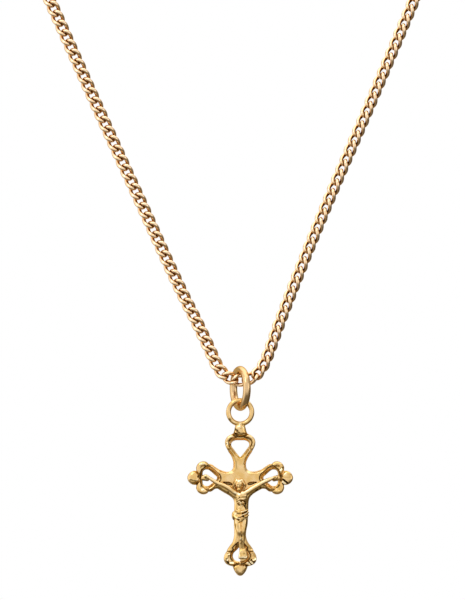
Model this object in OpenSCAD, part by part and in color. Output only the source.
// Crucifix pendant on a curb neck chain, hung as it is worn.
// Millimetres. +X is to the viewer's right, -Y is the front, +Z is up.
// The origin is the middle of the clasp, where the chain hangs on the nape.

/* [Cross] */
// Reach of each side bud from the crossing
side_reach = 7.93; // [7.6:0.01:8.4]
// Reach of the top bud above the crossing
top_reach = 8.0; // [7.6:0.1:8.6]
// Reach of the foot bud below the crossing
foot_reach = 14.8; // [14:0.1:16]
// Thickness of the flat plate behind the figure
plate_t = 0.9; // [0.7:0.05:1.1]
// Thickness of the rod that rounds each lobe
lobe_d = 0.74; // [0.6:0.02:0.9]
// Height of the flat front of a bud above the back of the plate
bud_t = 1.03; // [0.9:0.01:1.2]

/* [Rings] */
// Outer diameter of the loop soldered to the top bud
loop_od = 4.25; // [4:0.05:4.6]
// Wire of that loop
loop_wire = 0.74; // [0.6:0.01:0.8]
// Outer diameter of the jump ring that rides on the chain
ring_od = 6.75; // [6.5:0.05:7.2]
// Wire of the jump ring
ring_wire = 1.15; // [0.9:0.05:1.2]
// Turn of the jump ring away from the front, in degrees
ring_turn = 69; // [60:1:80]

/* [Chain] */
// Distance from link to link along the chain
link_pitch = 1.58; // [1.56:0.01:1.6]
// Width of the flat chain over a link
chain_w = 1.8; // [1.7:0.01:1.9]
// Wire of a link
link_wire = 0.4; // [0.36:0.01:0.44]
// Twist of a link from its middle to its end, in degrees
link_twist = 60; // [50:1:65]
// Links shown on each side of the lowest link
front_links = 41; // [30:1:42]

/* [Clasp] */
// Outer diameter of the bolt ring
clasp_od = 6; // [5.5:0.1:6.5]
// Wire of the bolt ring
clasp_wire = 1; // [0.8:0.05:1.1]
// Wire of the eye at each side of it
eye_wire = 0.5; // [0.4:0.05:0.6]

/* [Hidden] */

gold = [0.86, 0.64, 0.30];
pale_gold = [0.84, 0.68, 0.44];
rose_gold = [0.85, 0.60, 0.36];

// Air left between pieces that rest on each other
seat_gap = 0.05;
// Lowest point of the chain's centre line, in front of and below the nape
chain_low = [0, -105, -135];
// The ring hangs on the chain, the loop hangs in the ring, and the crossing is below the loop
ring_r = (ring_od - ring_wire) / 2;
ring_z = -(ring_r - ring_wire / 2 - chain_w / 2 - 2 * seat_gap);
loop_r = (loop_od - loop_wire) / 2;
loop_z = ring_z - ring_r + (ring_wire + loop_wire) / 2 + seat_gap - loop_r;
loop_above_crossing = top_reach + loop_r;
crossing_z = loop_z - loop_above_crossing;

// Half of the chain's centre line at each side, from its lowest point to the nape,
// relative to chain_low. Columns: x, y, z
LEFT_ROUTE = [
    [-1.42, 0, 0.28], [-2.64, 0, 1.07], [-3.47, 0, 2.25], [-4.6, 0, 4.7], [-6.1, 0, 7.9],
    [-8.4, 0, 12.5], [-14.6, 0, 26], [-21.42, 0, 41], [-28.1, 0, 56], [-34.8, 1, 71],
    [-42, 6, 87], [-49, 16, 102], [-55, 31, 115], [-57, 48, 124], [-54, 66, 130],
    [-46, 82, 133.5], [-34, 94, 135], [-18, 102, 135], [0, 105, 135]
];
RIGHT_ROUTE = [
    [1.42, 0, 0.28], [2.64, 0, 1.07], [3.47, 0, 2.25], [4.5, 0, 4.7], [5.65, 0, 7.9],
    [7.4, 0, 12.5], [12.85, 0, 26], [19.3, 0, 41], [25.65, 0, 56], [32.1, 1, 71],
    [39.3, 6, 87], [46.6, 16, 102], [54, 31, 115], [57, 48, 124], [54, 66, 130],
    [46, 82, 133.5], [34, 94, 135], [18, 102, 135], [0, 105, 135]
];
// Depth behind the front over which the chain turns its flat side to the neck
neck_blend = 30;
// Depth of the neck's axis behind the front of the chain
neck_axis_y = 53;
// Straight pieces that each stretch of the route is cut into
route_steps = 8;
// Distance before and behind a place over which the chain's direction is taken
heading_reach = 0.4;

// Vectors and sweeps
function unit(v) = v / norm(v);
function square_off(v, axis) = unit(v - (v * axis) * axis);
function smooth(x) = let (t = min(1, max(0, x))) t * t * (3 - 2 * t);

// A tube along a closed line round a centre, with each ring of sides squared to the line
module closed_tube(line, radius, sides, centre) {
    n = len(line);
    rings = [for (i = [0:n - 1])
        let (t = unit(line[(i + 1) % n] - line[(i + n - 1) % n]),
             u = square_off(line[i] - centre, t),
             v = cross(t, u))
        for (j = [0:sides - 1])
            line[i] + radius * (cos(360 * j / sides) * u + sin(360 * j / sides) * v)];
    polyhedron(rings, [for (i = [0:n - 1], j = [0:sides - 1])
        let (k = (j + 1) % sides, m = (i + 1) % n)
            each [[i * sides + j, m * sides + j, m * sides + k],
                  [i * sides + j, m * sides + k, i * sides + k]]]);
}

// Route: a smooth line through the table's points, by Hermite pieces whose slope at
// a point is the mean of its two chords, each weighted by the other's length
function slope(p, i) = let (a = p[i] - p[i - 1], b = p[i + 1] - p[i], d = norm(a), e = norm(b))
    (e * a / d + d * b / e) / (d + e);
function end_slope(p, i) = i == 0 ? unit(p[1] - p[0])
    : i == len(p) - 1 ? unit(p[i] - p[i - 1]) : slope(p, i);
function hermite(p, i, t) = let (d = norm(p[i + 1] - p[i]), t2 = t * t, t3 = t2 * t)
    (2 * t3 - 3 * t2 + 1) * p[i] + (t3 - 2 * t2 + t) * d * end_slope(p, i)
    + (3 * t2 - 2 * t3) * p[i + 1] + (t3 - t2) * d * end_slope(p, i + 1);

function reversed(rows) = [for (i = [len(rows) - 1:-1:0]) rows[i]];
knots = concat(reversed(LEFT_ROUTE), [[0, 0, 0]], RIGHT_ROUTE);
line = concat(
    [for (i = [0:len(knots) - 2], k = [0:route_steps - 1]) hermite(knots, i, k / route_steps)],
    [knots[len(knots) - 1]]);
run = [for (i = 0, s = 0; i < len(line); s = s + (i + 1 < len(line) ? norm(line[i + 1] - line[i]) : 0),
    i = i + 1) s];
low_at = run[len(LEFT_ROUTE) * route_steps];
left_length = low_at;
right_length = run[len(run) - 1] - low_at;
xs = [for (i = [0:len(line) - 1]) [run[i] - low_at, line[i].x]];
ys = [for (i = [0:len(line) - 1]) [run[i] - low_at, line[i].y]];
zs = [for (i = [0:len(line) - 1]) [run[i] - low_at, line[i].z]];

// Place, direction, flat side and width side of the chain at arc length s from its lowest point
function spot(s) = [lookup(s, xs), lookup(s, ys), lookup(s, zs)];
function heading(s) = unit(spot(s + heading_reach) - spot(s - heading_reach));
function outward(p) = [p.x * smooth(p.y / neck_blend), p.y - neck_axis_y, 0];
function flat_side(s) = square_off(outward(spot(s)), heading(s));
function width_side(s) = cross(flat_side(s), heading(s));
function along_chain(s, a, w, n) = spot(s) + a * heading(s) + w * width_side(s) + n * flat_side(s);

// One curb link: a squared oval whose sides turn about the chain from end to end
link_segments = 10;
link_sides = 5;
link_squareness = 0.8;
// Length of a link's centre line past its neighbours' middle, at both ends together
link_overlap = 0.6;
link_half = (link_pitch + link_overlap) / 2;
link_half_w = (chain_w - link_wire) / 2;
function squared(x) = sign(x) * pow(abs(x), link_squareness);
function link_point(t) = let (a = link_half * squared(cos(t)), r = link_half_w * squared(sin(t)),
    turn = -link_twist * a / link_half) [a, r * cos(turn), r * sin(turn)];

module link(s) {
    points = [for (i = [0:link_segments - 1])
        let (q = link_point(360 * (i + 0.5) / link_segments)) along_chain(s, q.x, q.y, q.z)];
    closed_tube(points, link_wire / 2, link_sides, spot(s));
}

module chain_front() {
    color(rose_gold) translate(chain_low)
        for (i = [-front_links:front_links]) link(i * link_pitch);
}

// The hidden stretch at each side is a plain oval rod of the chain's own width
chain_t = 1.1;
back_rings = 38;
back_sides = 8;
back_clearance = 0.2;
back_start = front_links * link_pitch + link_half + link_wire / 2 + back_clearance;
// The eyes overlap the bolt ring by most of their wire, and the rods stop short of them
eye_hole_r = 0.6;
eye_bite = 0.1;
eye_clearance = 0.15;
eye_x = clasp_od / 2 + eye_hole_r + eye_bite;
back_end_gap = eye_x + eye_hole_r + eye_wire + eye_clearance;

module chain_rod(s0, s1) {
    points = [for (i = [0:back_rings - 1])
        let (s = s0 + (s1 - s0) * i / (back_rings - 1)) for (j = [0:back_sides - 1])
            along_chain(s, 0, chain_w / 2 * cos(360 * j / back_sides),
                chain_t / 2 * sin(360 * j / back_sides))];
    last = (back_rings - 1) * back_sides;
    polyhedron(points, concat(
        [[for (j = [0:back_sides - 1]) j]],
        [[for (j = [back_sides - 1:-1:0]) last + j]],
        [for (i = [0:back_rings - 2], j = [0:back_sides - 1])
            let (k = (j + 1) % back_sides, a = i * back_sides, b = a + back_sides)
                each [[a + j, b + j, b + k], [a + j, b + k, a + k]]]));
}

module chain_back() {
    color(rose_gold) translate(chain_low) {
        chain_rod(back_start, right_length - back_end_gap);
        chain_rod(back_end_gap - left_length, -back_start);
    }
}

// Clasp: a plain bolt ring with an eye at each side, in one piece
module ring(centre_r, wire) {
    rotate([90, 0, 0]) rotate_extrude($fn = 64) translate([centre_r, 0]) circle(d = wire, $fn = 32);
}

module clasp() {
    color(pale_gold) {
        ring((clasp_od - clasp_wire) / 2, clasp_wire);
        for (side = [-1, 1]) translate([side * eye_x, 0, 0]) ring(eye_hole_r + eye_wire / 2, eye_wire);
    }
}

// The jump ring rides on the chain, turned almost edge on
module jump_ring() {
    color(pale_gold) translate(chain_low + [0, 0, ring_z]) rotate([0, 0, -ring_turn])
        ring(ring_r, ring_wire);
}

// Crucifix: cross, loop and figure are one casting
faces_round = 8;

module rod(a, b, ra, rb, faces) {
    hull() {
        translate(a) sphere(ra, $fn = faces);
        translate(b) sphere(rb, $fn = faces);
    }
}

// Each end of the cross, from its bud's tip inwards: half of the outline, half of the
// opening at the back of the plate, half of the bud, and the middle line of a lobe.
// Columns: distance from the bud's tip, distance from the arm's axis
SIDE_END = [
    [[0, 0], [0.1, 0.4], [0.42, 0.8], [0.9, 1.05], [1.38, 1.06], [1.33, 1.55], [1.6, 2.12], [2.08, 2.43],
     [2.6, 2.47], [3.04, 2.26], [3.18, 2.06], [3.72, 1.98], [4.17, 1.66], [4.8, 1.24], [5.2, 1.1],
     [5.7, 0.9]],
    [[2.3, 0.5], [2.4, 0.98], [2.7, 1.2], [3.15, 1.18], [3.6, 0.86], [4.38, 0.16]],
    [[0, 0], [0.1, 0.4], [0.42, 0.8], [0.88, 1.04], [1.2, 1.02], [1.5, 0.74], [1.8, 0.38]],
    [[1.86, 0.9], [1.76, 1.4], [1.86, 1.86], [2.22, 2.07], [2.6, 2.06], [3, 1.86]]
];
FOOT_END = [
    [[0, 0], [0.06, 0.26], [0.38, 0.62], [0.98, 0.98], [1.42, 1.12], [1.52, 1.5], [1.66, 1.86], [2, 2.28],
     [2.5, 2.46], [3.17, 2.34], [3.72, 2], [3.95, 1.93], [4.48, 1.58], [5, 1.2], [5.5, 0.92], [6.1, 0.86]],
    [[2.15, 0.3], [2.44, 0.86], [2.86, 1.08], [3.3, 1.02], [3.7, 0.66], [4.2, 0.1]],
    [[0, 0], [0.06, 0.26], [0.38, 0.6], [0.98, 0.94], [1.4, 1.04], [1.66, 0.86]],
    [[1.86, 1.16], [1.98, 1.72], [2.3, 2.02], [2.7, 2.09], [3.16, 1.99], [3.6, 1.76]]
];
TOP_END = [
    [[0, 0.4], [0.2, 0.66], [0.55, 0.8], [1, 0.9], [1.36, 1.04], [1.54, 1.2], [1.66, 1.5], [1.94, 1.92],
     [2.4, 2.22], [2.86, 2.28], [3.35, 2.18], [3.86, 1.92], [4.2, 1.76], [4.8, 1.36], [5.3, 1.06],
     [5.9, 0.86]],
    [[2.48, 0.6], [2.66, 1.08], [2.95, 1.31], [3.3, 1.3], [3.7, 1.02], [4.5, 0.42], [4.96, 0.06]],
    [[0, 0.4], [0.2, 0.64], [0.55, 0.78], [1, 0.88], [1.42, 1], [1.76, 0.7]],
    [[1.9, 1.2], [2.18, 1.72], [2.6, 1.92], [3.1, 1.9], [3.66, 1.7]]
];
// Slant of the openings' walls, from the back of the plate to its front
opening_flare = 0.5;
// How far in front of the middle of the plate the openings are cut
cut_front = 0.9;
flare_at_cut = opening_flare * (cut_front + plate_t / 2) / plate_t;
// Thinness of the slabs that shapes are stretched between
sliver = 0.01;
// Slant and height of the plate's bevelled edge
bevel_w = 0.25;
bevel_h = 0.25;
// Slant of a bud's edge
bud_bevel = 0.25;
// How far a lobe's rod stands in front of the middle of the plate
lobe_rise = 0.26;
lobe_faces = 8;

function both_sides(half) = concat(half, [for (i = [len(half) - 1:-1:0]) [half[i].x, -half[i].y]]);

// Places a 2-D drawing of an end, as seen from the front, between two depths.
// Depth is measured to the back from the middle of the plate
module slab(front, back) {
    translate([0, back, 0]) rotate([90, 0, 0]) linear_extrude(back - front) children();
}

module end_outline(end, reach) {
    translate([reach, 0]) mirror([1, 0]) polygon(both_sides(end[0]));
}

module end_opening(end, reach, flare) {
    translate([reach, 0]) mirror([1, 0]) offset(delta = flare) polygon(both_sides(end[1]));
}

module bevelled() {
    slab(bevel_h - plate_t / 2, plate_t / 2) children();
    slab(-plate_t / 2, 0) offset(delta = -bevel_w) children();
}

module opening(end, reach) {
    hull() {
        slab(plate_t / 2, plate_t / 2 + sliver) end_opening(end, reach, 0);
        slab(-cut_front, sliver - cut_front) end_opening(end, reach, flare_at_cut);
    }
}

module bud(end, reach) {
    hull() {
        slab(0, plate_t / 2) translate([reach, 0]) mirror([1, 0]) polygon(both_sides(end[2]));
        slab(plate_t / 2 - bud_t, 0) offset(delta = -bud_bevel)
            translate([reach, 0]) mirror([1, 0]) polygon(both_sides(end[2]));
    }
}

module lobes(end, reach) {
    line = end[3];
    for (side = [-1, 1], i = [0:len(line) - 2])
        rod([reach - line[i].x, -lobe_rise, side * line[i].y],
            [reach - line[i + 1].x, -lobe_rise, side * line[i + 1].y], lobe_d / 2, lobe_d / 2, lobe_faces);
}

// Edge of the stem and of the webs between the ends, from the top down, at the viewer's
// right and left. Columns: x, z
RIGHT_EDGE = [
    [0.7, 3.2], [0.96, 2.6], [0.92, 2.3], [0.87, 1.8], [0.95, 1.35], [1.25, 0.98], [1.8, 0.86], [2.8, 0.96],
    [3.5, 0.2], [3.5, -1.6], [3.26, -1.74], [2.62, -2.08], [1.85, -2.6], [1.42, -3.1], [1.28, -3.6],
    [1.24, -4.4], [1.18, -6], [1.12, -7], [0.93, -8], [0.84, -8.8], [0.88, -9.4], [1.15, -9.9], [0.6, -10.6]
];
LEFT_EDGE = [
    [-0.7, 3.2], [-1.1, 2.6], [-1.05, 2.3], [-1.04, 1.8], [-1.08, 1.38], [-1.34, 1], [-1.95, 0.82],
    [-2.8, 0.96], [-3.5, 0.2], [-3.5, -1.6], [-3.3, -1.77], [-2.4, -2.33], [-1.5, -2.86], [-1.04, -3.3],
    [-0.9, -3.8], [-0.9, -4.6], [-0.94, -6], [-0.94, -7.2], [-0.9, -8.2], [-0.9, -8.8], [-0.95, -9.4],
    [-1.15, -9.9], [-0.6, -10.6]
];
// Recesses in the plate above the arms of the figure. Columns: x, z
RECESSES = [
    [[-2.7, -0.72], [-2.2, -0.66], [-1.7, -0.7], [-1.22, -0.86], [-1.2, -1.2], [-2.3, -1]],
    [[2.66, -0.74], [2.2, -0.66], [1.7, -0.68], [1.2, -0.82], [1.02, -1.04], [1.3, -1.2], [2.2, -1]]
];
recess_depth = 0.4;
// The side arms' axis lies this much below the crossing
side_drop = 0.1;
// Each arm: turn about Y in degrees, end, reach, drop
ARMS = [
    [0, SIDE_END, side_reach, side_drop], [180, SIDE_END, side_reach, -side_drop],
    [90, FOOT_END, foot_reach, 0], [-90, TOP_END, top_reach, 0]
];

// Turns what is drawn along +X to the arm's own direction
module on_arm(arm) {
    rotate([0, arm[0], 0]) translate([0, 0, -arm[3]]) children();
}

module cross() {
    difference() {
        union() {
            bevelled() polygon(concat(RIGHT_EDGE, reversed(LEFT_EDGE)));
            for (arm = ARMS) on_arm(arm) {
                bevelled() end_outline(arm[1], arm[2]);
                lobes(arm[1], arm[2]);
            }
        }
        for (arm = ARMS) on_arm(arm) opening(arm[1], arm[2]);
        for (recess = RECESSES) slab(-cut_front, recess_depth - plate_t / 2) polygon(recess);
    }
    for (arm = ARMS) on_arm(arm) bud(arm[1], arm[2]);
}

// Limbs of the figure, seen from the front.
// Columns: start [x, y, z], end [x, y, z], radius at start, radius at end
LIMBS = [
    // upper arm, forearm, and the hand on its pad out to the wall, at the viewer's left
    [[-0.6, -0.95, -2.35], [-2.7, -1.04, -1.12], 0.45, 0.33],
    [[-2.7, -1.04, -1.12], [-4.7, -0.9, -0.02], 0.32, 0.24],
    [[-5, -0.84, 0.12], [-5.75, -0.4, -0.15], 0.3, 0.28],
    // and at the viewer's right
    [[0.8, -0.95, -2.35], [2.75, -1.04, -1.14], 0.45, 0.36],
    [[2.75, -1.04, -1.14], [4.85, -0.9, -0.12], 0.34, 0.25],
    [[5.05, -0.84, -0.06], [5.85, -0.4, -0.05], 0.27, 0.3],
    // chest, ribs and belly
    [[-0.3, -0.96, -2.85], [0.6, -0.96, -2.85], 0.5, 0.5],
    [[0.15, -1, -2.9], [0.2, -0.9, -4.3], 0.62, 0.5],
    [[-0.1, -0.85, -3.4], [0.5, -0.85, -3.4], 0.5, 0.5],
    [[0.2, -0.86, -4.3], [0.14, -0.9, -5], 0.5, 0.62],
    // thighs, shins and feet
    [[-0.35, -0.98, -6], [-0.14, -1.18, -8.1], 0.52, 0.44],
    [[0.6, -0.96, -6], [0.46, -1.1, -8], 0.5, 0.4],
    [[-0.14, -1.18, -8.1], [0.1, -0.94, -10.9], 0.44, 0.23],
    [[0.46, -1.1, -8], [0.4, -0.84, -10.9], 0.4, 0.21],
    [[0.1, -0.94, -10.9], [0.42, -1.12, -12.1], 0.23, 0.27],
    [[0.4, -0.84, -10.9], [0.8, -0.96, -12], 0.21, 0.22]
];

// Cloth round the hips and its rolled folds. Columns as for the limbs
FOLDS = [
    [[-0.45, -0.94, -5.5], [0.75, -0.98, -5.3], 0.6, 0.54],
    [[-0.5, -0.98, -5.8], [-0.2, -0.98, -6.4], 0.5, 0.42],
    [[1.15, -1.1, -4.9], [0.3, -1.5, -5.15], 0.14, 0.17],
    [[0.3, -1.5, -5.15], [-0.9, -1.15, -5.3], 0.17, 0.14],
    [[1.25, -1.1, -5.22], [0.42, -1.55, -5.6], 0.15, 0.17],
    [[0.42, -1.55, -5.6], [-0.6, -1.4, -5.96], 0.17, 0.14],
    [[1.22, -1.08, -5.64], [0.3, -1.5, -6.24], 0.15, 0.17],
    [[-0.98, -1.08, -5.25], [-0.98, -1, -6.2], 0.24, 0.2]
];

// Head, hair down to the shoulders, beard and nose
HEAD = [
    [[-0.16, -1.3, -0.85], [-0.18, -1.42, -1.55], 0.6, 0.42],
    [[-0.3, -1.15, -0.55], [-0.92, -1.05, -1.3], 0.42, 0.3],
    [[0, -1.15, -0.55], [0.64, -1.05, -1.2], 0.42, 0.3],
    [[-0.92, -1.05, -1.3], [-0.5, -0.98, -1.9], 0.3, 0.2],
    [[0.64, -1.05, -1.2], [0.2, -0.98, -1.85], 0.3, 0.2],
    [[-0.18, -1.5, -1.5], [-0.18, -1.5, -1.85], 0.28, 0.18],
    [[-0.17, -1.88, -0.98], [-0.17, -1.94, -1.24], 0.07, 0.1]
];

module crucifix() {
    color(gold) translate(chain_low + [0, 0, crossing_z]) {
        cross();
        translate([0, 0, loop_above_crossing]) ring_mesh(loop_r, loop_wire);
        for (part = concat(LIMBS, FOLDS, HEAD)) rod(part[0], part[1], part[2], part[3], faces_round);
    }
}

module ring_mesh(centre_r, wire) {
    rotate([90, 0, 0]) rotate_extrude($fn = 24) translate([centre_r, 0]) circle(d = wire, $fn = 8);
}

crucifix();
jump_ring();
chain_front();
chain_back();
clasp();
